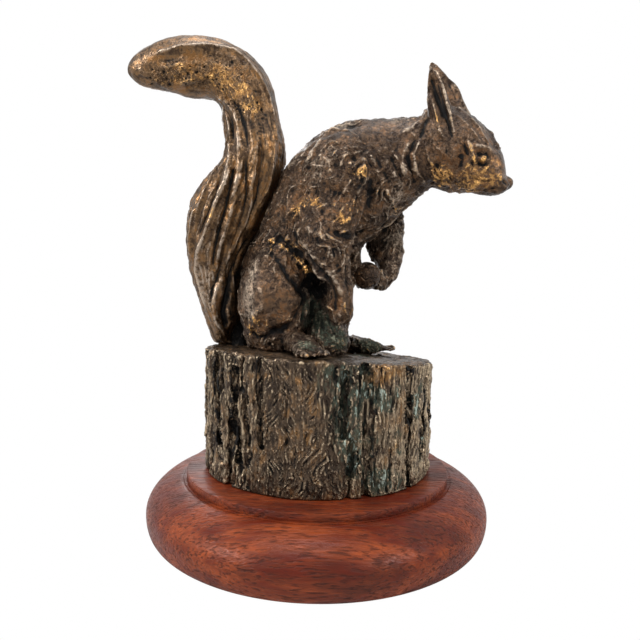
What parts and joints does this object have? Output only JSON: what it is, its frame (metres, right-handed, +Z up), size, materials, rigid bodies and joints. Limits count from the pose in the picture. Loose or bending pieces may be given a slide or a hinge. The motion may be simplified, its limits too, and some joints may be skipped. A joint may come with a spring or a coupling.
{
  "type": "squirrel figurine",
  "caption": "Bronze squirrel holding a nut, seated on a hollow cast tree stump that is bolted to a turned hardwood plinth.",
  "frame": {"origin": "on the plinth's turning axis, on the table under the cloth", "axes": "+Z up the plinth's axis; +X to the right in the front view, the way the squirrel looks; -Y towards the viewer"},
  "size_m": [0.2174, 0.192, 0.283],
  "materials": {
    "hardwood": "satin varnish on red-brown hardwood",
    "baize": "matt green cloth",
    "steel": "plain",
    "stump_bronze": "cast bronze, brown and green patina",
    "figure_bronze": "cast bronze, dark brown patina rubbed to gold on the high places"
  },
  "bodies": {
    "root": {"plinth": "hardwood", "plinth_baize": "baize", "plinth_bolts": "steel", "plinth_washers": "steel", "stump_shell": "stump_bronze", "stump_bosses": "stump_bronze", "torso": "figure_bronze", "head": "figure_bronze", "near_ear": "figure_bronze", "far_ear": "figure_bronze", "near_haunch": "figure_bronze", "far_haunch": "figure_bronze", "near_hind_foot": "figure_bronze", "far_hind_foot": "figure_bronze", "near_foreleg": "figure_bronze", "far_foreleg": "figure_bronze", "nut": "figure_bronze", "tail": "figure_bronze", "neck_dowel": "steel", "tail_dowel": "steel", "figure_studs": "steel", "stud_washers": "steel", "stud_nuts": "steel"}
  },
  "joints": []
}
